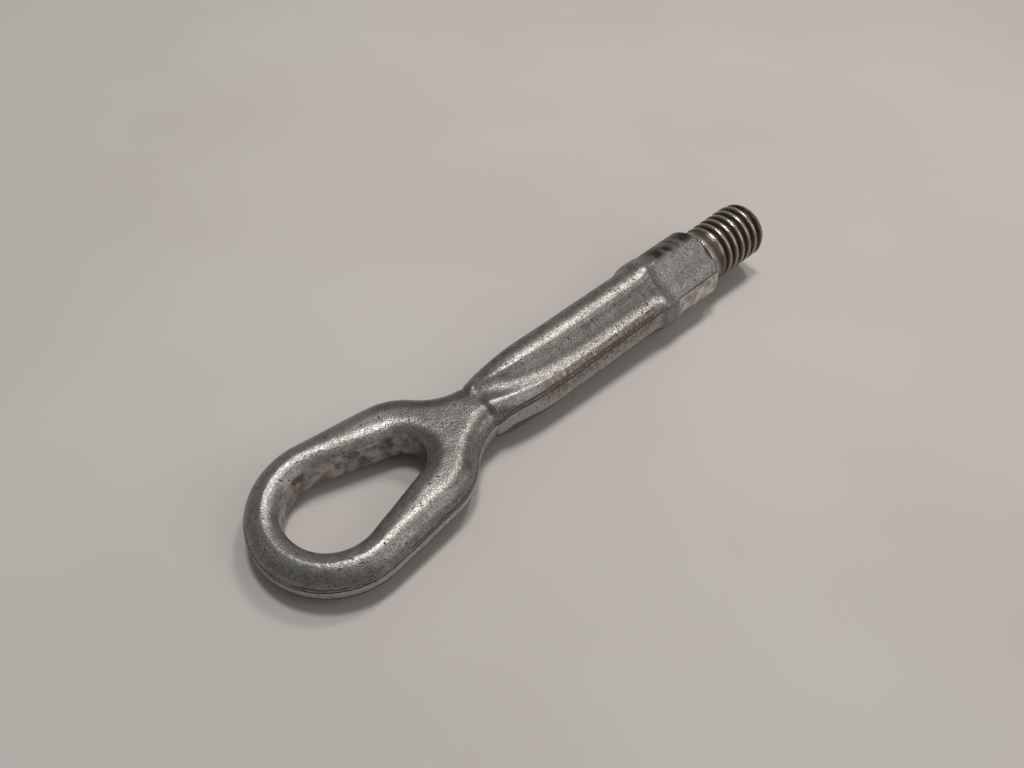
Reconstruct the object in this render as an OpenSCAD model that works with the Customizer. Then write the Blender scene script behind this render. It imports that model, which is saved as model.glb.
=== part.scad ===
// Screw-in tow eye, one drop forging with a turned boss and a threaded stud.
// X runs along the stud, the eye lies flat in XY, and the origin is the middle
// of the shoulder where the stud leaves the boss.

/* [Eye] */
// Clear length of the eye
eye_l = 41.4; // [36:0.2:46]
// Clear width of the eye at its round end
eye_w = 25.8; // [23:0.2:28]
// Width across the outside of the eye
eye_outer_w = 44.8; // [42:0.2:50]
// Radius of the small end of the opening, towards the neck
eye_tip_r = 6.9; // [6:0.1:8.5]
// Width of the rod at the outer end of the eye, seen from above
rod_end_w = 8.8; // [8.4:0.2:11]
// Width of the rod where it runs into the neck, seen from above
rod_neck_w = 13; // [11.4:0.2:14]
// Thickness of the rod and of the neck
rod_h = 12.6; // [11.6:0.2:14]
// Height of the flat wall that the punch left inside the eye
punched_h = 8; // [6:0.1:9.5]
// Height of the trimmed flash land around the outside of the eye
land_h = 3; // [2:0.1:5]

/* [Neck] */
// From the eye's opening to the narrowest place of the neck
neck_l = 20.9; // [19:0.1:26]
// Width of the neck at its narrowest
neck_w = 15.2; // [13:0.2:17]
// Height of the trimmed land at the neck
neck_land_h = 5.4; // [3.5:0.1:6.5]
// Length over which the pad steps up into the lobes of the shank
nose_l = 3; // [2:0.5:4.5]
// Height of the low swelling on the pad of the neck
pad_rise = 0.35; // [0:0.05:0.6]

/* [Shank] */
// From the narrowest place of the neck to the shoulder
shank_l = 86.8; // [76:0.2:110]
// Diameter of the shank between neck and boss
shank_d = 20.5; // [19.5:0.1:21]
// Length over which the shank grows from the neck to its full diameter
swell_l = 20; // [14:1:26]
// Thickness of the shank over its width, before the grooves
shank_flat = 0.92; // [0.88:0.01:1]
// How square the section of the shank is, where 2 is an ellipse
shank_square = 3; // [2:0.1:3.2]
// What the trimming tool took off each side of the shank
land_cut = 0.15; // [0.05:0.05:0.4]
// Depth of the two long grooves, below the top of the shank
groove_depth = 1.3; // [0.8:0.1:2]
// Depth of the grooves where they start at the neck
groove_start = 0.85; // [0.5:0.05:1.2]
// How far the crests beside the grooves are rounded off
crest_soft = 1.5; // [0.5:0.25:2.5]
// Radius of the bottom of the grooves
groove_r = 6.3; // [5.5:0.1:9]
// Turn of the grooves away from the flat side of the eye, at the boss
groove_turn = 31; // [20:1:36]
// Turn of the grooves where they start at the neck
groove_start_turn = -6; // [-10:1:20]
// Length over which the grooves deepen from the neck
groove_run_l = 18; // [12:1:24]

/* [Boss] */
// Diameter of the turned boss
boss_d = 22; // [21.4:0.1:23]
// Length of the turned boss
boss_l = 19.3; // [14:0.1:24]
// Stock on the radius that the forging keeps where the boss isn't turned
boss_stock = 0.25; // [0.1:0.05:0.5]
// Distance of the unturned flats of the boss from its axis
boss_flat = 8.5; // [8.2:0.1:9]
// Radius to which the flats of the boss are hollowed
boss_flat_r = 20; // [15:1:40]
// Forged collar between the shank and the turned boss
boss_collar_l = 7.5; // [6:0.5:12]
// Length of the chamfer at the shoulder
shoulder_chamfer_l = 1.5; // [0.5:0.1:2.5]

/* [Stud] */
// Outside diameter of the thread
stud_d = 18; // [16:0.1:19]
// Length of the stud from the shoulder to its tip
stud_l = 23.9; // [20:0.1:30]
// Length of the chamfer at the tip
tip_chamfer_l = 1.6; // [0.8:0.1:2.5]
// Radius lost at the tip's chamfer
tip_chamfer_r = 0.8; // [0.4:0.1:1.2]

/* [Hidden] */

// Places along X
neck_x = -shank_l;
hole_tip_x = neck_x - neck_l;
hole_end_x = hole_tip_x - eye_l;
eye_end_x = hole_end_x - rod_end_w;

// Circles that the outlines of the eye are made of
hole_r = eye_w / 2;
hole_cx = hole_end_x + hole_r;
tip_cx = hole_tip_x - eye_tip_r;
rim_r = eye_outer_w / 2;
rim_cx = eye_end_x + rim_r;
root_r = eye_tip_r + rod_neck_w;
neck_half = neck_w / 2;
neck_run = neck_x - tip_cx;
// Fillet that is tangent to the root circle and to the neck's side
fillet_r = (neck_run * neck_run + neck_half * neck_half - root_r * root_r) / (2 * (root_r - neck_half));
fillet_cy = neck_half + fillet_r;
fillet_start = atan2(fillet_cy, neck_run);
fillet_mid = (2 * fillet_start + 90) / 3;
fillet_end = acos(nose_l / fillet_r);
// Half angles of the straight legs, outside and inside
leg_out = asin((rim_r - root_r) / (tip_cx - rim_cx));
leg_in = asin((hole_r - eye_tip_r) / (tip_cx - hole_cx));

// Section of the rod: a round that is cut off by the inner and outer lands
rod_r = rod_h / 2;
cut_in = sqrt(rod_r * rod_r - punched_h * punched_h / 4);

// Facets along and around the eye
arc_steps = 16;
leg_steps = 4;
root_steps = 7;
turn_steps = 5;
web_steps = 9;
nose_steps = 5;
rod_steps = 12;

function polar(cx, cy, r, a) = [cx + r * cos(a), cy + r * sin(a)];
function mix(a, b, f) = a + (b - a) * f;
function ease(f) = let (g = min(max(f, 0), 1)) g * g * (3 - 2 * g);
function steps(n) = [for (k = [1 : n]) k / n];
function fillet_point(a) = polar(neck_x, fillet_cy, -fillet_r, a);

// One station across the rod: inner point, outer point, outward direction of
// the outer edge and half height of the trimmed land there
function station(inner, outer, dir, land) = [inner, outer, [cos(dir), sin(dir)], land];

// Where the rod's inner edge has turned when the fillet of the neck starts
turn_in = 38;
ROD = concat(
    [station([hole_end_x, 0], [eye_end_x, 0], 180, land_h / 2)],
    [for (f = steps(arc_steps))
        station(
            polar(hole_cx, 0, hole_r, mix(180, 90 - leg_in, f)),
            polar(rim_cx, 0, rim_r, mix(180, 90 - leg_out, f)),
            mix(180, 90 - leg_out, f), land_h / 2)],
    [for (f = steps(leg_steps))
        station(
            mix(polar(hole_cx, 0, hole_r, 90 - leg_in), polar(tip_cx, 0, eye_tip_r, 90 - leg_in), f),
            mix(polar(rim_cx, 0, rim_r, 90 - leg_out), polar(tip_cx, 0, root_r, 90 - leg_out), f),
            90 - leg_out, land_h / 2)],
    [for (f = steps(root_steps))
        station(
            polar(tip_cx, 0, eye_tip_r, mix(90 - leg_in, turn_in, f)),
            polar(tip_cx, 0, root_r, mix(90 - leg_out, fillet_start, f)),
            mix(90 - leg_out, fillet_start, f), land_h / 2)],
    [for (f = steps(turn_steps))
        let (a = mix(fillet_start, fillet_mid, f))
        station(
            polar(tip_cx, 0, eye_tip_r, turn_in * (1 - f)),
            fillet_point(a), a, mix(land_h, neck_land_h, f / 2) / 2)]
);
WEB = concat(
    [for (k = steps(web_steps))
        let (f = pow(k, 1.4), a = mix(fillet_mid, fillet_end, f))
        station([mix(hole_tip_x, neck_x - nose_l, f), 0], fillet_point(a), a,
            mix(land_h, neck_land_h, (1 + f) / 2) / 2)],
    [for (f = steps(nose_steps))
        let (a = acos(nose_l * (1 - f) / fillet_r))
        station([neck_x - nose_l * (1 - f), 0], fillet_point(a), a, neck_land_h / 2)]
);
axis_start = len(ROD) - 1;

// Distance from the opening of the eye, which is the outline of two circles
function hole_gap(p) =
    let (run = tip_cx - hole_cx, b = (hole_r - eye_tip_r) / run, a = sqrt(1 - b * b))
    let (along = p[0] - hole_cx, across = abs(p[1]), k = a * along - b * across)
    k < 0 ? norm([across, along]) - hole_r
    : k > a * run ? norm([across, along - run]) - eye_tip_r
    : a * across + b * along - hole_r;

// Height of a round edge at a depth behind its land
function edge_z(depth, cut) = depth >= cut ? rod_r : sqrt(rod_r * rod_r - pow(cut - max(depth, 0), 2));

// The low swelling on the pad, just before the shank starts
function pad_z(p) = pad_rise * exp(-(pow((p[0] - neck_x + 5) / 2.4, 2) + pow((p[1] + 1) / 4, 2)));

// Height of the die face at fraction t from the inner to the outer edge
function face_z(s, t) =
    let (p = mix(s[0], s[1], t), cut_out = sqrt(rod_r * rod_r - s[3] * s[3]))
    min(edge_z(hole_gap(p), cut_in), edge_z((s[1] - p) * s[2], cut_out));

// Fractions across the rod that space the facets evenly around its section
land_cut_out = sqrt(rod_r * rod_r - land_h * land_h / 4);
ACROSS = [for (k = [0 : rod_steps])
    let (a = mix(acos(cut_in / rod_r), 180 - acos(land_cut_out / rod_r), k / rod_steps))
    (cut_in - rod_r * cos(a)) / (cut_in + land_cut_out)];
ring_n = 2 * (rod_steps + 1);

// Point k of half a station: the upper face outwards, then the lower inwards
function rod_point(s, k, side) =
    let (upper = k <= rod_steps, t = ACROSS[upper ? k : ring_n - 1 - k])
    let (p = mix(s[0], s[1], t), z = face_z(s, t), q = [p[0], side * p[1]])
    [q[0], q[1], (upper ? z : -z) + pad_z(q)];

// Radii along the shank
shank_r = shank_d / 2;
boss_r = boss_d / 2;
stud_r = stud_d / 2;
turned_x = -boss_l;
foot_x = -0.3;
foot_r = stud_r + 0.15;
collar_x = turned_x - boss_collar_l;

// Radius of the forging before its lands, grooves and turning
function forged_r(x) =
    let (grown = min(max((x - neck_x) / swell_l, 0), 1))
    shank_r - (shank_r - neck_half - land_cut) * pow(1 - grown, 2)
        + (boss_r + boss_stock - shank_r) * ease((x - collar_x) / (boss_collar_l / 2));

// Largest radius left by the lathe
function turned_r(x) =
    x <= turned_x ? boss_r + 5
    : min(boss_r, mix(stud_r + 0.3, boss_r, -x / shoulder_chamfer_l));

// Depth, direction and bottom radius of the groove on the upper side
function at_boss(x) = ease((x - collar_x) / boss_collar_l);
function groove_at(x) = mix(
    mix(groove_start, groove_depth, ease((x - neck_x) / groove_run_l)),
    boss_r + boss_stock - boss_flat, at_boss(x));
function groove_dir(x) = 90 + groove_turn
    - (groove_turn - groove_start_turn) * exp(-max(x - neck_x, 0) / 9);
function bottom_r(x) = mix(groove_r, boss_flat_r, at_boss(x));

function flat_at(x) = mix(shank_flat, 1, at_boss(x));

// Radius of the forging at an angle from the middle of the groove
function round_rad(x, a) =
    let (n = mix(shank_square, 2, at_boss(x)))
    forged_r(x) / pow(pow(sin(a), n) + pow(cos(a) / flat_at(x), n), 1 / n);

// Radius of the groove's bottom at the same angle
function groove_rad(x, a) =
    let (g = bottom_r(x), c = forged_r(x) * flat_at(x) - groove_at(x) + g)
    let (inside = g * g - pow(c * sin(a), 2))
    inside <= 0 ? 1000 : c * cos(a) - sqrt(inside);

// Two radii joined with a soft crest
function soft_min(a, b) = min(a, b) - pow(max(crest_soft - abs(a - b), 0), 2) / (4 * crest_soft);

// Radius of the shank at place x and angle a, which goes round from +Y over +Z.
// The lathe leaves a thin rim at the foot of the stud, over the hollow flats.
function shank_rad(x, a) =
    let (r = forged_r(x), from_groove = abs(((a - groove_dir(x) + 810) % 180) - 90))
    let (land = (r - land_cut) / max(abs(cos(a)), 0.01))
    max(min(soft_min(round_rad(x, from_groove), groove_rad(x, from_groove)), land, turned_r(x)),
        x < foot_x ? 0 : foot_r);

// Point k of half a ring round the shank, from the middle of the upper groove
// over one side to the middle of the lower groove
function shank_point(x, k, side) =
    let (a = groove_dir(x) - side * 180 * k / (ring_n - 1), r = shank_rad(x, a))
    [x, r * cos(a), r * sin(a)];

// The neck, where the pad grows into the two lobes of the shank
function neck_point(s, k, side) =
    mix(rod_point(s, k, side), shank_point(s[0][0], k, side), ease((s[0][0] - neck_x) / nose_l + 1));

// Places of the rings, close together where the shank changes
SHANK_X = concat(
    [for (f = steps(10)) neck_x + swell_l * f],
    [mix(neck_x + swell_l, collar_x, 0.5)],
    [for (k = [0 : 4]) collar_x + boss_collar_l * k / 8],
    [turned_x - 0.01, turned_x + 0.25, turned_x / 2, -shoulder_chamfer_l, foot_x - 0.15, foot_x, 0]
);

// The skin's points are numbered by side, station and place round the half
function half_points(side) = concat(
    [for (s = ROD) each [for (k = [0 : ring_n - 1]) rod_point(s, k, side)]],
    [for (s = WEB) each [for (k = [0 : ring_n - 1]) neck_point(s, k, side)]],
    [for (x = SHANK_X) each [for (k = [0 : ring_n - 1]) shank_point(x, k, side)]]
);
station_n = len(ROD) + len(WEB) + len(SHANK_X);

// Both sides share the points where they meet over the stud's axis
function shared(i, k) = i == 0 || (i >= axis_start && (k == 0 || k == ring_n - 1));
function skin_index(side, i, k) = i * ring_n + k + (side == 1 && !shared(i, k) ? station_n * ring_n : 0);
function facing(side, face) = side == 0 ? face : [for (k = [len(face) - 1 : -1 : 0]) face[k]];

// The forging as one skin: the eye, the neck with its pad, the shank and boss
module forging() {
    skin = [for (side = [0, 1]) for (i = [0 : station_n - 2]) for (k = [0 : ring_n - 1])
        let (next = (k + 1) % ring_n)
        if (next > 0 || i < axis_start)
            facing(side, [skin_index(side, i, k), skin_index(side, i, next),
                skin_index(side, i + 1, next), skin_index(side, i + 1, k)])];
    ends = [for (side = [0, 1])
        facing(side, [for (k = [0 : ring_n - 1]) skin_index(side, station_n - 1, k)])];
    polyhedron(concat(half_points(1), half_points(-1)), concat(skin, ends), convexity = 6);
}

// The stud at the thread's outside diameter, with a chamfered tip
module stud() {
    rotate([0, 90, 0])
        rotate_extrude($fn = 96)
            polygon([
                [0, -4],
                [stud_r - 2, -4],
                [stud_r - 2, foot_x / 2],
                [stud_r, foot_x / 2],
                [stud_r, stud_l - tip_chamfer_l],
                [stud_r - tip_chamfer_r, stud_l],
                [0, stud_l]
            ]);
}

module tow_eye() {
    color("silver") {
        forging();
        stud();
    }
}

tow_eye();
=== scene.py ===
import math
import bmesh
import bpy
import numpy as np
from mathutils import Matrix, Vector, noise


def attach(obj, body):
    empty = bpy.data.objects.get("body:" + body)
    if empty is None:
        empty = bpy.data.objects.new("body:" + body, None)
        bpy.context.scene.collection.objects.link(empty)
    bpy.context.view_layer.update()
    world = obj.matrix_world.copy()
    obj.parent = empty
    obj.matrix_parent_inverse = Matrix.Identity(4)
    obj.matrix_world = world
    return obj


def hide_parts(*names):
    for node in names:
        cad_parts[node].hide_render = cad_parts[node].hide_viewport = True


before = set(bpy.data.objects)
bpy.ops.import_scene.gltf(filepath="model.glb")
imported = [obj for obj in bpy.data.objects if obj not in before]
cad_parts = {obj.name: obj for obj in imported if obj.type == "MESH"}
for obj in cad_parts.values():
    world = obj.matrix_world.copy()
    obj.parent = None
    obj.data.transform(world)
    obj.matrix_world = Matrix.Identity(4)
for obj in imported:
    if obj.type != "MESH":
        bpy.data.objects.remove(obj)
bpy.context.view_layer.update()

# Camera, from the outline of the eye, shank and stud in the photograph
CAM_RIGHT = Vector((0.742019, -0.670226, 0.014292))
CAM_DOWN = Vector((-0.518924, -0.587746, -0.620704))
CAM_AT = Vector((-0.183053, -0.113972, 0.199573))
LENS_PX = 914.3

MM = 0.001

# Sizes in millimetres, as in the part's source
EYE_L, EYE_W, EYE_OUTER_W, EYE_TIP_R = 41.4, 25.8, 44.8, 6.9
ROD_END_W, ROD_NECK_W, ROD_H = 8.8, 13.0, 12.6
PUNCHED_H, LAND_H, NECK_LAND_H = 8.0, 3.0, 5.4
NECK_L, NECK_W, NOSE_L = 20.9, 15.2, 3.0
PAD_RISE, PAD_BACK, PAD_SIDE, PAD_RUN, PAD_SPAN = 0.35, 5, 1, 2.4, 4
SHANK_L, SHANK_D, SWELL_L, LAND_CUT = 86.8, 20.5, 20.0, 0.15
SHANK_FLAT, SHANK_SQUARE = 0.92, 3.0
GROOVE_DEPTH, GROOVE_START, CREST_SOFT, GROOVE_R = 1.3, 0.85, 1.5, 6.3
GROOVE_TURN, GROOVE_START_TURN, GROOVE_TURN_RUN, GROOVE_RUN_L = 31.0, -6.0, 9, 18.0
BOSS_D, BOSS_L, BOSS_STOCK, BOSS_FLAT, BOSS_FLAT_R = 22.0, 19.3, 0.25, 8.5, 20.0
COLLAR_L, SHOULDER_L = 7.5, 1.5
STUD_D, STUD_L, TIP_L, TIP_R = 18.0, 23.9, 1.6, 0.8
PITCH, THREAD_DEPTH, HAND = 3.03, 1.0, -1
THREAD_START, THREAD_RUN_IN, LAST_CREST_X = 3.2, 3.2, 21.2
UNDERCUT_X, UNDERCUT, UNDERCUT_RUN = 3.4, 0.35, 1.5
# Unevenness of the forging: width and height of the large and small lumps
LARGE_LUMP, SMALL_LUMP, LUMP_SINK = (9.0, 0.07), (2.6, 0.035), 0.05
# Brown film: angle of its middle and its width, in degrees round the shank. Last, the width in
# degrees of the painted shade along the groove's bottom
FAR_BROWN, NEAR_BROWN, NEAR_BROWN_X, GROOVE_SHADE_W = (48, 22), (160, 19), -78, 19

NECK_X = -SHANK_L
HOLE_TIP_X = NECK_X - NECK_L
HOLE_END_X = HOLE_TIP_X - EYE_L
EYE_END_X = HOLE_END_X - ROD_END_W
HOLE_R = EYE_W / 2
HOLE_CX = HOLE_END_X + HOLE_R
TIP_CX = HOLE_TIP_X - EYE_TIP_R
RIM_R = EYE_OUTER_W / 2
RIM_CX = EYE_END_X + RIM_R
ROOT_R = EYE_TIP_R + ROD_NECK_W
NECK_HALF = NECK_W / 2
NECK_RUN = NECK_X - TIP_CX
FILLET_R = (NECK_RUN ** 2 + NECK_HALF ** 2 - ROOT_R ** 2) / (2 * (ROOT_R - NECK_HALF))
FILLET_CY = NECK_HALF + FILLET_R
FILLET_START = math.atan2(FILLET_CY, NECK_RUN)
FILLET_MID = (2 * FILLET_START + math.pi / 2) / 3
FILLET_END = math.acos(NOSE_L / FILLET_R)
LEG_OUT = math.asin((RIM_R - ROOT_R) / (TIP_CX - RIM_CX))
LEG_IN = math.asin((HOLE_R - EYE_TIP_R) / (TIP_CX - HOLE_CX))
ROD_R = ROD_H / 2
CUT_IN = math.sqrt(ROD_R ** 2 - PUNCHED_H ** 2 / 4)
SHANK_R, BOSS_R, STUD_R = SHANK_D / 2, BOSS_D / 2, STUD_D / 2
TURNED_X = -BOSS_L
COLLAR_X = TURNED_X - COLLAR_L
FOOT_X, FOOT_R = -0.3, STUD_R + 0.15


def ease(f):
    g = np.clip(f, 0, 1)
    return g * g * (3 - 2 * g)


def mix(a, b, f):
    return a + (b - a) * f


def polar(cx, cy, r, a):
    return np.stack([cx + r * np.cos(a), cy + r * np.sin(a)], -1)


# Stations of the rod and the web: inner point, outer point, outward direction
# of the outer edge and half height of the trimmed land there
def stations():
    up = math.pi / 2
    inner, outer, turn, land = [], [], [], []

    def add(i, o, d, h):
        n = max(len(i), len(o))
        inner.append(np.broadcast_to(i, (n, 2)))
        outer.append(np.broadcast_to(o, (n, 2)))
        turn.append(np.broadcast_to(d, (n,)))
        land.append(np.broadcast_to(h, (n,)))

    f = np.linspace(0, 1, 91)
    add(polar(HOLE_CX, 0, HOLE_R, mix(math.pi, up - LEG_IN, f)),
        polar(RIM_CX, 0, RIM_R, mix(math.pi, up - LEG_OUT, f)),
        mix(math.pi, up - LEG_OUT, f), LAND_H / 2)
    f = np.linspace(0, 1, 51)[1:, None]
    add(mix(polar(HOLE_CX, 0, HOLE_R, up - LEG_IN), polar(TIP_CX, 0, EYE_TIP_R, up - LEG_IN), f),
        mix(polar(RIM_CX, 0, RIM_R, up - LEG_OUT), polar(TIP_CX, 0, ROOT_R, up - LEG_OUT), f),
        up - LEG_OUT, LAND_H / 2)
    turn_in = math.radians(38)   # half angle of the hole's end that the legs' roots share
    f = np.linspace(0, 1, 41)[1:]
    a = mix(up - LEG_OUT, FILLET_START, f)
    add(polar(TIP_CX, 0, EYE_TIP_R, mix(up - LEG_IN, turn_in, f)),
        polar(TIP_CX, 0, ROOT_R, a), a, LAND_H / 2)
    f = np.linspace(0, 1, 31)[1:]
    a = mix(FILLET_START, FILLET_MID, f)
    add(polar(TIP_CX, 0, EYE_TIP_R, turn_in * (1 - f)),
        polar(NECK_X, FILLET_CY, -FILLET_R, a), a, mix(LAND_H, NECK_LAND_H, f / 2) / 2)
    rod_n = sum(len(t) for t in turn)
    f = np.linspace(0, 1, 71)[1:]
    a = mix(FILLET_MID, FILLET_END, f)
    add(np.stack([mix(HOLE_TIP_X, NECK_X - NOSE_L, f), 0 * f], -1),
        polar(NECK_X, FILLET_CY, -FILLET_R, a), a, mix(LAND_H, NECK_LAND_H, (1 + f) / 2) / 2)
    f = np.linspace(0, 1, 21)[1:]
    a = np.arccos(NOSE_L * (1 - f) / FILLET_R)
    add(np.stack([NECK_X - NOSE_L * (1 - f), 0 * f], -1),
        polar(NECK_X, FILLET_CY, -FILLET_R, a), a, NECK_LAND_H / 2)
    return (np.concatenate(inner), np.concatenate(outer), np.concatenate(turn),
            np.concatenate(land), rod_n)


def hole_gap(p):
    run = TIP_CX - HOLE_CX
    b = (HOLE_R - EYE_TIP_R) / run
    a = math.sqrt(1 - b * b)
    along, across = p[..., 0] - HOLE_CX, np.abs(p[..., 1])
    k = a * along - b * across
    return np.where(
        k < 0, np.hypot(across, along) - HOLE_R,
        np.where(k > a * run, np.hypot(across, along - run) - EYE_TIP_R,
                 a * across + b * along - HOLE_R))


# Height of the rod's arc at a depth inside an edge that trims it at the cut
def edge_z(depth, cut):
    short = np.clip(cut - np.maximum(depth, 0), 0, ROD_R)
    return np.where(depth >= cut, ROD_R, np.sqrt(ROD_R ** 2 - short ** 2))


def pad_z(p):
    along = (p[..., 0] - NECK_X + PAD_BACK) / PAD_RUN
    across = (p[..., 1] + PAD_SIDE) / PAD_SPAN
    return PAD_RISE * np.exp(-(along ** 2 + across ** 2))


# Points round one half of a section, and their shares of the way across the rod
HALF = 60
LAND_OUT = math.sqrt(ROD_R ** 2 - LAND_H ** 2 / 4)
ARC = mix(math.acos(CUT_IN / ROD_R), math.pi - math.acos(LAND_OUT / ROD_R),
          np.linspace(0, 1, HALF // 2))
ACROSS = (CUT_IN - ROD_R * np.cos(ARC)) / (CUT_IN + LAND_OUT)


# Points of the rod and web for one side, stations by places round the half
def rod_points(inner, outer, turn, land, side):
    t = np.concatenate([ACROSS, ACROSS[::-1]])
    p = mix(inner[:, None], outer[:, None], t[None, :, None])
    cut = np.sqrt(ROD_R ** 2 - land ** 2)[:, None]
    back = ((outer[:, None] - p) * np.stack([np.cos(turn), np.sin(turn)], -1)[:, None]).sum(-1)
    z = np.minimum(edge_z(hole_gap(p), CUT_IN), edge_z(back, cut))
    z[:, HALF // 2:] *= -1
    q = np.stack([p[..., 0], side * p[..., 1]], -1)
    return np.concatenate([q, (z + pad_z(q))[..., None]], -1)


def forged_r(x):
    grown = np.clip((x - NECK_X) / SWELL_L, 0, 1)
    return (SHANK_R - (SHANK_R - NECK_HALF - LAND_CUT) * (1 - grown) ** 2
            + (BOSS_R + BOSS_STOCK - SHANK_R) * ease((x - COLLAR_X) / (COLLAR_L / 2)))


def turned_r(x):
    r = np.minimum(BOSS_R, mix(STUD_R + 0.3, BOSS_R, -x / SHOULDER_L))
    return np.where(x <= TURNED_X, BOSS_R + 5, r)


def groove_dir(x):
    run = np.exp(-np.maximum(x - NECK_X, 0) / GROOVE_TURN_RUN)
    t = GROOVE_TURN - (GROOVE_TURN - GROOVE_START_TURN) * run
    return np.radians(90 + t)


def at_boss(x):
    return ease((x - COLLAR_X) / COLLAR_L)


def round_rad(x, a):
    n, flat = mix(SHANK_SQUARE, 2.0, at_boss(x)), mix(SHANK_FLAT, 1.0, at_boss(x))
    return forged_r(x) / (np.abs(np.sin(a)) ** n + np.abs(np.cos(a) / flat) ** n) ** (1 / n)


def groove_rad(x, a):
    k = at_boss(x)
    depth = mix(mix(GROOVE_START, GROOVE_DEPTH, ease((x - NECK_X) / GROOVE_RUN_L)),
                BOSS_R + BOSS_STOCK - BOSS_FLAT, k)
    g = mix(GROOVE_R, BOSS_FLAT_R, k)
    c = forged_r(x) * mix(SHANK_FLAT, 1.0, k) - depth + g
    inside = g * g - (c * np.sin(a)) ** 2
    return np.where(inside <= 0, 1000.0, c * np.cos(a) - np.sqrt(np.maximum(inside, 0)))


def soft_min(a, b):
    return np.minimum(a, b) - np.maximum(CREST_SOFT - np.abs(a - b), 0) ** 2 / (4 * CREST_SOFT)


def shank_rad(x, a):
    r = forged_r(x)
    g = np.abs((a - groove_dir(x) + np.pi / 2) % np.pi - np.pi / 2)
    land = (r - LAND_CUT) / np.maximum(np.abs(np.cos(a)), 0.01)
    forged = np.minimum(soft_min(round_rad(x, g), groove_rad(x, g)), land)
    return np.maximum(np.minimum(forged, turned_r(x)), np.where(x < FOOT_X, 0, FOOT_R))


def shank_points(x, side):
    k = np.arange(HALF) / (HALF - 1)
    x = x[:, None] + 0 * k[None]
    a = groove_dir(x) - side * math.pi * k[None]
    r = shank_rad(x, a)
    return np.stack([x, r * np.cos(a), r * np.sin(a)], -1)


inner, outer, turn, land, rod_n = stations()
shank_x = np.concatenate([
    NECK_X + SWELL_L * np.linspace(0, 1, 81)[1:],
    np.linspace(NECK_X + SWELL_L, COLLAR_X, 111)[1:],
    np.linspace(COLLAR_X, TURNED_X - 0.02, 31)[1:],
    [TURNED_X + 0.12],
    np.linspace(TURNED_X + 0.12, -SHOULDER_L, 56)[1:],
    np.linspace(-SHOULDER_L, FOOT_X - 0.15, 8)[1:], [FOOT_X, 0],
])
station_n = len(inner) + len(shank_x)
grid = []
for side in (1, -1):
    rod = rod_points(inner, outer, turn, land, side)
    nose = ease((inner[:, 0] - NECK_X) / NOSE_L + 1)
    nose[:rod_n] = 0
    round_ = shank_points(inner[:, 0], side)
    rod = mix(rod, round_, nose[:, None, None])
    grid.append(np.concatenate([rod, shank_points(shank_x, side)]))
points = np.concatenate([g.reshape(-1, 3) for g in grid])

# Quads of the skin. Both sides share the points where they meet
i, k = np.meshgrid(np.arange(station_n), np.arange(HALF), indexing="ij")
shared = (i == 0) | ((i >= rod_n - 1) & ((k == 0) | (k == HALF - 1)))
index = [i * HALF + k, i * HALF + k + np.where(shared, 0, station_n * HALF)]
faces = []
for side in (0, 1):
    n = index[side]
    nxt = np.roll(n, -1, 1)
    q = np.stack([n[:-1], nxt[:-1], nxt[1:], n[1:]], -1)
    keep = np.ones(q.shape[:2], bool)
    keep[rod_n - 1:, HALF - 1] = False
    q = q[keep]
    faces.append(q if side == 0 else q[:, ::-1])
quads = np.concatenate(faces)
ring = np.concatenate([index[0][-1], index[1][-1][1:-1][::-1]])

# The thread: a skin over the stud, from the shoulder to the tip
ROUND = 120
tx = np.concatenate([[-0.2, -0.19], np.linspace(0, 23.0, 190), [23.3, 23.6, STUD_L]])
phi = np.arange(ROUND) / ROUND * 2 * math.pi


def thread_radius(x, a):
    u = (x - LAST_CREST_X) / PITCH - HAND * a / (2 * math.pi)
    wave = 0.5 - 0.5 * np.cos(2 * math.pi * u)
    depth = THREAD_DEPTH * ease((x - THREAD_START) / THREAD_RUN_IN)
    r = STUD_R - 0.05 - depth * wave ** 1.5
    neck = UNDERCUT * np.exp(-((x - UNDERCUT_X) / UNDERCUT_RUN) ** 2)
    tip = mix(STUD_R, STUD_R - TIP_R, (x - (STUD_L - TIP_L)) / TIP_L)
    return np.minimum(r - neck, np.where(x > STUD_L - TIP_L, tip, r))


tr = thread_radius(tx[:, None], phi[None])
tr[0] = STUD_R - 1.5
tpts = np.stack([tx[:, None] + 0 * tr, tr * np.cos(phi), tr * np.sin(phi)], -1).reshape(-1, 3)
base = len(points)
ti, tk = np.meshgrid(np.arange(len(tx)), np.arange(ROUND), indexing="ij")
tn = base + ti * ROUND + tk
tnx = np.roll(tn, -1, 1)
tquads = np.stack([tn[:-1], tnx[:-1], tnx[1:], tn[1:]], -1).reshape(-1, 4)
# Slightly dished end face of the stud: radius and depth of its rings
END_RINGS = ((7.6, 0.0), (5.5, -0.05), (3.0, -0.12), (1.2, -0.3))
end_points, end_quads = [], []
tip_ring = tn[-1]
for step, (rr, dx) in enumerate(END_RINGS):
    end_points.append(np.stack([np.full(ROUND, STUD_L + dx), rr * np.cos(phi), rr * np.sin(phi)], -1))
    this = base + len(tpts) + step * ROUND + np.arange(ROUND)
    end_quads.append(np.stack([tip_ring, np.roll(tip_ring, -1), np.roll(this, -1), this], -1))
    tip_ring = this
all_points = np.concatenate([points, tpts] + end_points)
all_quads = np.concatenate([quads, tquads] + end_quads)


# Small unevenness of the forging, which fades out on the turned and threaded parts
def lumps(p, scale, seed):
    off = Vector((seed * 17.3, seed * 5.1, seed * 9.7))
    return np.array([noise.noise(Vector(v) / scale + off) for v in p])


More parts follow.
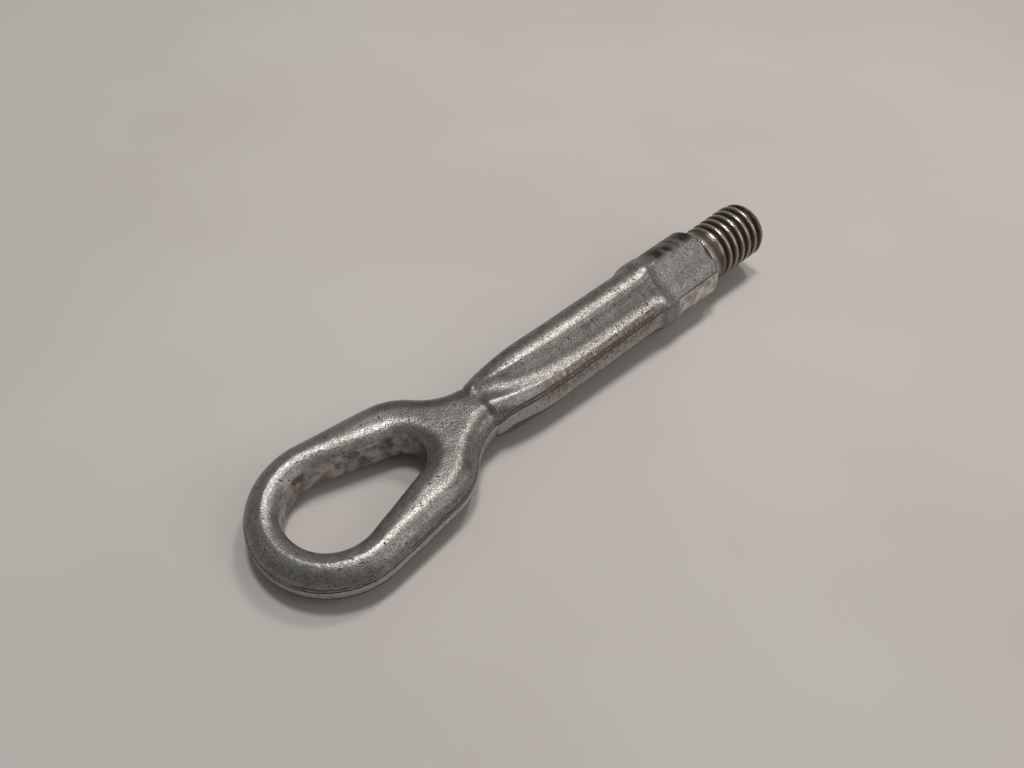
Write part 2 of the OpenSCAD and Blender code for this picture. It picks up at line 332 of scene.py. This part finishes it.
used = np.zeros(len(all_points), bool)
used[all_quads.ravel()] = True
bump = np.zeros(len(all_points))
pick = np.flatnonzero(used & (all_points[:, 0] < -0.2))
large = lumps(all_points[pick], LARGE_LUMP[0], 1)
small = lumps(all_points[pick], SMALL_LUMP[0], 2)
bump[pick] = LARGE_LUMP[1] * large + SMALL_LUMP[1] * small - LUMP_SINK
radius = np.hypot(all_points[:, 1], all_points[:, 2])
turned = (all_points[:, 0] > TURNED_X) & (radius > BOSS_R - 0.03)
bump[turned] = 0

mesh = bpy.data.meshes.new("tow_eye_forging")
all_faces = all_quads.tolist() + [ring[::-1].tolist(), tip_ring.tolist()]
mesh.from_pydata((all_points * MM).tolist(), [], all_faces)
mesh.update()

# Push the points along their normals. The unused ones are dropped further on
nrm = np.empty(len(mesh.vertices) * 3)
mesh.vertices.foreach_get("normal", nrm)
nrm = nrm.reshape(-1, 3)
moved = all_points + nrm * bump[:, None]
mesh.vertices.foreach_set("co", (moved * MM).ravel())
mesh.update()

# Masks for the materials
x, y, z = all_points.T
angle = np.degrees(np.arctan2(z, y)) % 360


def attribute(name, values):
    at = mesh.attributes.new(name, "FLOAT", "POINT")
    at.data.foreach_set("value", np.asarray(values, float))


# A mask given by side, station and place on the skin, and 0 on the thread
def skin_attribute(name, values):
    attribute(name, np.concatenate([values.ravel(), np.zeros(len(all_points) - len(points))]))


def bell(v, c, w):
    return np.exp(-((v - c) / w) ** 2)


shank = ease((x - NECK_X - 2) / 8) * ease((TURNED_X - x) / 2)
far_brown = shank * bell(angle, *FAR_BROWN)
near_brown = shank * bell(angle, *NEAR_BROWN) * ease((x - NEAR_BROWN_X) / 10)
attribute("brown", np.maximum(far_brown, near_brown))
attribute("turned", turned.astype(float))
# Painted shade: a darker colour on the flat top of the web and along the bottom of the groove
web = ease((x - HOLE_TIP_X + 7) / 7) * ease((NECK_X + 1 - x) / 3) * ease((np.abs(z) - 4.6) / 1.2)
off_groove = (angle - np.degrees(groove_dir(x)) + 90) % 180 - 90
valley = ease((x - NECK_X) / 3) * ease((TURNED_X - x) / 4) * bell(off_groove, 0, GROOVE_SHADE_W)
attribute("painted_shade", np.maximum(web, valley))
root = np.zeros(len(all_points))
root[base:base + len(tpts)] = np.clip((STUD_R - tr.ravel()) / THREAD_DEPTH, 0, 1)
attribute("root", root)
attribute("thread", np.arange(len(all_points)) >= base)
eye_zone = ease((HOLE_TIP_X + 1 - x) / 3)
gap = hole_gap(all_points[:, :2])
attribute("punched", eye_zone * (np.abs(gap) < 0.15) * (np.abs(z) < PUNCHED_H / 2 + 0.05))

# Upper and lower edge of the trimmed land, in millimetres, at each station
# of the skin. The far side is the near side turned by half a turn
sweep = np.radians(np.linspace(-60, 60, 1201))[None]
sx = np.concatenate([inner[:, 0], shank_x])[:, None]
off = np.abs((sweep - groove_dir(sx) + np.pi / 2) % np.pi - np.pi / 2)
cut_r = (forged_r(sx) - LAND_CUT) / np.cos(sweep)
flat = soft_min(round_rad(sx, off), groove_rad(sx, off)) > cut_r
height_z = cut_r * np.sin(sweep)
high = np.where(flat, height_z, -9).max(1)
low = np.where(flat, height_z, 9).min(1)
high, low = np.where(high < low, 0, high), np.where(high < low, 0, low)
blend = np.concatenate([nose, np.ones(len(shank_x))])
half_land = np.concatenate([land, np.zeros(len(shank_x))])
high, low = mix(half_land, high, blend), mix(-half_land, low, blend)
edges = np.zeros((2, 2, station_n, HALF))
edges[0] = np.stack([high, low])[..., None]
edges[1] = np.stack([-low, -high])[..., None]
skin_attribute("land_top", edges[:, 0])
skin_attribute("land_low", edges[:, 1])
# The land is on the outer side of the rod and ends at the collar
rim = np.zeros((2, station_n, HALF))
rim[:, :, HALF // 4:HALF * 3 // 4] = 1
rim[:, len(inner):] = 1
rim *= 1 - ease((points[:, 0].reshape(rim.shape) - COLLAR_X + 1) / 3)
skin_attribute("rim", rim)

bm = bmesh.new()
bm.from_mesh(mesh)
bmesh.ops.delete(bm, geom=[v for v in bm.verts if not v.link_faces], context="VERTS")
bm.to_mesh(mesh)
bm.free()
mesh.shade_smooth()
mesh.set_sharp_from_angle(angle=math.radians(28))
eye = bpy.data.objects.new("tow_eye_forging", mesh)
bpy.context.scene.collection.objects.link(eye)
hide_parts("tow_eye")
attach(eye, "root")


class Tree:
    """Short ways to add and join shader nodes."""

    def __init__(self, name):
        self.mat = bpy.data.materials.new(name)
        self.mat.use_nodes = True
        self.nt = self.mat.node_tree
        self.nt.nodes.clear()

    def node(self, kind, **kw):
        n = self.nt.nodes.new("ShaderNode" + kind)
        for key, value in kw.items():
            if key in n.inputs:
                self.put(n.inputs[key], value)
            else:
                setattr(n, key, value)
        return n

    def put(self, socket, value):
        if isinstance(value, bpy.types.NodeSocket):
            self.nt.links.new(value, socket)
        else:
            socket.default_value = value

    def math(self, op, a, b=0.0, clamp=False):
        n = self.nt.nodes.new("ShaderNodeMath")
        n.operation = op
        n.use_clamp = clamp
        self.put(n.inputs[0], a)
        self.put(n.inputs[1], b)
        return n.outputs[0]

    def attr(self, name):
        return self.node("Attribute", attribute_name=name).outputs["Fac"]

    def noise(self, co, scale, detail=4.0, rough=0.55):
        n = self.node("TexNoise", Scale=scale, Detail=detail, Roughness=rough)
        self.put(n.inputs["Vector"], co)
        return n.outputs["Fac"]

    def ramp(self, fac, stops):
        n = self.nt.nodes.new("ShaderNodeValToRGB")
        e = n.color_ramp.elements
        while len(e) < len(stops):
            e.new(0.5)
        for el, (pos, col) in zip(e, stops):
            el.position = pos
            el.color = (*col, 1) if len(col) == 3 else col
        self.put(n.inputs["Fac"], fac)
        return n.outputs["Color"]

    def level(self, fac, low, high):
        n = self.nt.nodes.new("ShaderNodeMapRange")
        self.put(n.inputs["Value"], fac)
        n.inputs["From Min"].default_value = low
        n.inputs["From Max"].default_value = high
        n.interpolation_type = "SMOOTHSTEP"
        return n.outputs["Result"]

    def mix(self, fac, a, b):
        n = self.nt.nodes.new("ShaderNodeMix")
        n.data_type = "RGBA"
        self.put(n.inputs["Factor"], fac)
        self.put(n.inputs[6], a)
        self.put(n.inputs[7], b)
        return n.outputs[2]

    def mul(self, a, b):
        n = self.nt.nodes.new("ShaderNodeMix")
        n.data_type = "RGBA"
        n.blend_type = "MULTIPLY"
        n.inputs["Factor"].default_value = 1.0
        self.put(n.inputs[6], a)
        self.put(n.inputs[7], b)
        return n.outputs[2]


def rgb(r, g, b):
    return (r, g, b, 1.0)


t = Tree("forged_steel")
co = t.node("TexCoord").outputs["Object"]
axes = t.node("SeparateXYZ", Vector=co)
fine = t.noise(co, 2200.0, 2.0, 0.7)
grain = t.noise(co, 1700.0, 2.0, 0.7)
pits = t.noise(co, 900.0, 3.0, 0.7)
patch = t.noise(co, 260.0, 5.0, 0.65)
broad = t.noise(co, 55.0, 4.0, 0.6)
turned_m = t.attr("turned")
thread_m = t.attr("thread")
root_m = t.attr("root")
punched_m = t.attr("punched")

# Blasted steel: light and dark grains, cloudy patches and small dark pits
steel = t.ramp(fine, [(0.34, (0.155, 0.147, 0.137)), (0.5, (0.235, 0.227, 0.215)),
                      (0.66, (0.335, 0.326, 0.312))])
cloud = t.ramp(patch, [(0.3, (0.70, 0.69, 0.67)), (0.7, (1.15, 1.15, 1.14))])
steel = t.mul(steel, cloud)
# Painted shade: darker colour on the web's top and the groove's bottom
steel = t.mul(steel, t.ramp(t.attr("painted_shade"), [(0.0, (1.0, 1.0, 1.0)), (1.0, (0.62, 0.62, 0.61))]))

# Painted reflection of the floor: a brighter colour on the trimmed land. beyond is the distance past
# its edges in millimetres
land_reflection_c = t.ramp(fine, [(0.36, (0.30, 0.285, 0.26)), (0.64, (0.62, 0.60, 0.57))])
z_mm = t.math("DIVIDE", axes.outputs["Z"], MM)
beyond = t.math("MAXIMUM", t.math("SUBTRACT", z_mm, t.attr("land_top")),
                t.math("SUBTRACT", t.attr("land_low"), z_mm))
beyond = t.math("ADD", beyond, t.math("MULTIPLY", t.math("SUBTRACT", patch, 0.5), 0.5))
rim_m = t.attr("rim")
land_reflection_m = t.math("MULTIPLY", rim_m, t.level(beyond, 0.1, -0.1))
steel = t.mix(t.math("MULTIPLY", land_reflection_m, 0.8), steel, land_reflection_c)
pit_m = t.math("MULTIPLY", t.level(pits, 0.58, 0.66), t.level(patch, 0.44, 0.56))
steel = t.mix(pit_m, steel, rgb(0.04, 0.03, 0.024))

# Painted shade: a dark line in the crease along the land's edges and a broken one 0.9 mm beyond it
crease_shade_1 = t.level(t.math("ABSOLUTE", beyond), 0.36, 0.16)
crease_shade_2 = t.level(t.math("ABSOLUTE", t.math("SUBTRACT", beyond, 0.9)), 0.28, 0.10)
crease_shade_2 = t.math("MULTIPLY", crease_shade_2, t.level(broad, 0.38, 0.50))
crease_shade_m = t.math("MULTIPLY", rim_m, t.math("MAXIMUM", crease_shade_1, crease_shade_2))
crease_shade_m = t.math("MULTIPLY", crease_shade_m, t.level(pits, 0.22, 0.40))
steel = t.mix(t.math("MULTIPLY", crease_shade_m, 0.95), steel, rgb(0.02, 0.016, 0.013))

# Brown film on the outer sides of the two lobes
brown_m = t.math("MULTIPLY", t.math("ADD", t.attr("brown"), 0.15), t.level(broad, 0.32, 0.50), True)
brown_m = t.math("MULTIPLY", brown_m, t.level(pits, 0.36, 0.56))
steel = t.mix(t.math("MULTIPLY", brown_m, 0.85), steel, rgb(0.105, 0.077, 0.058))

# Stained wall of the punched hole
punch_c = t.ramp(patch, [(0.40, (0.13, 0.105, 0.088)), (0.58, (0.46, 0.435, 0.40))])
steel = t.mix(t.math("MULTIPLY", punched_m, 0.9), steel, punch_c)

# Turned patches of the boss: light near, with a dark border of painted shade in the crease along its
# edge; dark stripes far
far_m = t.level(axes.outputs["Y"], -0.003, 0.003)
# Painted shade in the crease along the border of the near patch
near_border_shade = t.level(t.math("ABSOLUTE", t.math("SUBTRACT", turned_m, 0.5)), 0.5, 0.2)
near_border_shade = t.math("MULTIPLY", near_border_shade, t.math("SUBTRACT", 1.0, far_m))
across = t.node("Mapping", Vector=co, Scale=(1.0, 0.2, 0.2)).outputs["Vector"]
stripe = t.noise(across, 420.0, 3.0, 0.6)
light_c = t.ramp(patch, [(0.40, (0.30, 0.27, 0.24)), (0.58, (0.64, 0.61, 0.57))])
dark_c = t.ramp(stripe, [(0.44, (0.03, 0.022, 0.016)), (0.58, (0.17, 0.148, 0.124))])
turned_c = t.mix(far_m, light_c, dark_c)
steel = t.mix(turned_m, steel, turned_c)
steel = t.mix(t.math("MULTIPLY", near_border_shade, 0.8), steel, rgb(0.03, 0.025, 0.02))

# Thread with worn crests, darker the deeper a point lies in the roots
thread_c = t.ramp(root_m, [(0.05, (0.36, 0.325, 0.28)), (0.28, (0.13, 0.105, 0.08)),
                           (0.7, (0.035, 0.026, 0.02))])
steel = t.mix(thread_m, steel, thread_c)

rough = t.ramp(fine, [(0.3, (0.43,) * 3), (0.7, (0.30,) * 3)])
rough = t.mix(t.math("MULTIPLY", thread_m, t.level(root_m, 0.5, 0.1)), rough, rgb(0.24, 0.24, 0.24))
rough = t.mix(crease_shade_m, rough, rgb(0.8, 0.8, 0.8))
bsdf = t.node("BsdfPrincipled")
t.put(bsdf.inputs["Metallic"], t.math("SUBTRACT", 0.8, t.math("MULTIPLY", crease_shade_m, 0.8)))
t.put(bsdf.inputs["Base Color"], steel)
t.put(bsdf.inputs["Roughness"], rough)
height = t.math("SUBTRACT", grain, t.math("MULTIPLY", pit_m, 0.5))
bump_n = t.node("Bump", Strength=1.0, Distance=0.0001)
t.put(bump_n.inputs["Height"], height)
t.put(bsdf.inputs["Normal"], bump_n.outputs["Normal"])
out = t.node("OutputMaterial")
t.nt.links.new(bsdf.outputs[0], out.inputs[0])
mesh.materials.append(t.mat)

# Pale floor just under the lowest points of the boss and the eye
LOW_BOSS = Vector((-0.0102, 0, -0.01112))
LOW_EYE = Vector((-0.1532, 0, -0.0063))
FLOOR_HALF, FLOOR_GAP = 1.5, 0.00005
sideways = Vector((0, 1, 0))
along = (LOW_BOSS - LOW_EYE).normalized()
middle = (LOW_BOSS + LOW_EYE) / 2 - along.cross(sideways) * FLOOR_GAP
corners = [middle + (along * a + sideways * b) * FLOOR_HALF
           for a, b in ((-1, -1), (1, -1), (1, 1), (-1, 1))]
floor_mesh = bpy.data.meshes.new("floor")
floor_mesh.from_pydata([tuple(c) for c in corners], [], [(0, 1, 2, 3)])
floor = bpy.data.objects.new("floor", floor_mesh)
bpy.context.scene.collection.objects.link(floor)
t = Tree("pale_floor")
co = t.node("TexCoord").outputs["Object"]
cloud = t.noise(co, 9.0, 3.0, 0.5)
floor_c = t.ramp(cloud, [(0.3, (0.425, 0.395, 0.368)), (0.7, (0.465, 0.435, 0.408))])
bsdf = t.node("BsdfPrincipled", Roughness=0.75)
t.put(bsdf.inputs["Base Color"], floor_c)
out = t.node("OutputMaterial")
t.nt.links.new(bsdf.outputs[0], out.inputs[0])
floor_mesh.materials.append(t.mat)


# Square lamp that faces the middle of the object
def area(name, at, size, power, colour):
    data = bpy.data.lights.new(name, "AREA")
    data.size = size
    data.energy = power
    data.color = colour
    ob = bpy.data.objects.new(name, data)
    bpy.context.scene.collection.objects.link(ob)
    ob.location = at
    ob.rotation_euler = (Vector((-0.08, 0, 0)) - Vector(at)).to_track_quat("-Z", "Y").to_euler()


# Two small lamps from the two shadow edges in the photograph, and a wide one
area("lamp_above", (0.03, 0.12, 0.90), 0.15, 3.85, (1.0, 0.99, 0.97))
area("lamp_right", (0.38, 0.12, 0.76), 0.15, 2.3, (1.0, 0.98, 0.96))
area("fill_near", (0.30, -0.60, 0.55), 0.6, 1.7, (1.0, 0.99, 0.97))

# The room is dimmer behind the camera than beyond the object
world = bpy.data.worlds.new("room")
bpy.context.scene.world = world
world.use_nodes = True
nodes, links = world.node_tree.nodes, world.node_tree.links
facing = nodes.new("ShaderNodeVectorMath")
facing.operation = "DOT_PRODUCT"
facing.inputs[1].default_value = (0.30, 0.35, 0.89)
shade = nodes.new("ShaderNodeMapRange")
shade.interpolation_type = "SMOOTHSTEP"
shade.inputs["From Min"].default_value = -0.3
shade.inputs["From Max"].default_value = 0.9
shade.inputs["To Min"].default_value = 0.21
shade.inputs["To Max"].default_value = 0.27
links.new(nodes.new("ShaderNodeTexCoord").outputs["Generated"], facing.inputs[0])
links.new(facing.outputs["Value"], shade.inputs["Value"])
links.new(shade.outputs["Result"], nodes["Background"].inputs["Strength"])
nodes["Background"].inputs["Color"].default_value = (0.99, 1.0, 1.0, 1)

cam = bpy.data.cameras.new("camera")
cam.sensor_width = 36.0
cam.lens = LENS_PX / 1024 * 36.0
cam.clip_start = 0.01
cam.clip_end = 20
cam_ob = bpy.data.objects.new("camera", cam)
bpy.context.scene.collection.objects.link(cam_ob)
right = CAM_RIGHT.normalized()
back = right.cross(-CAM_DOWN).normalized()
upv = back.cross(right).normalized()
pose = Matrix((right, upv, back)).transposed().to_4x4()
pose.translation = CAM_AT
cam_ob.matrix_world = pose
bpy.context.scene.camera = cam_ob
bpy.context.scene.view_settings.view_transform = "Standard"
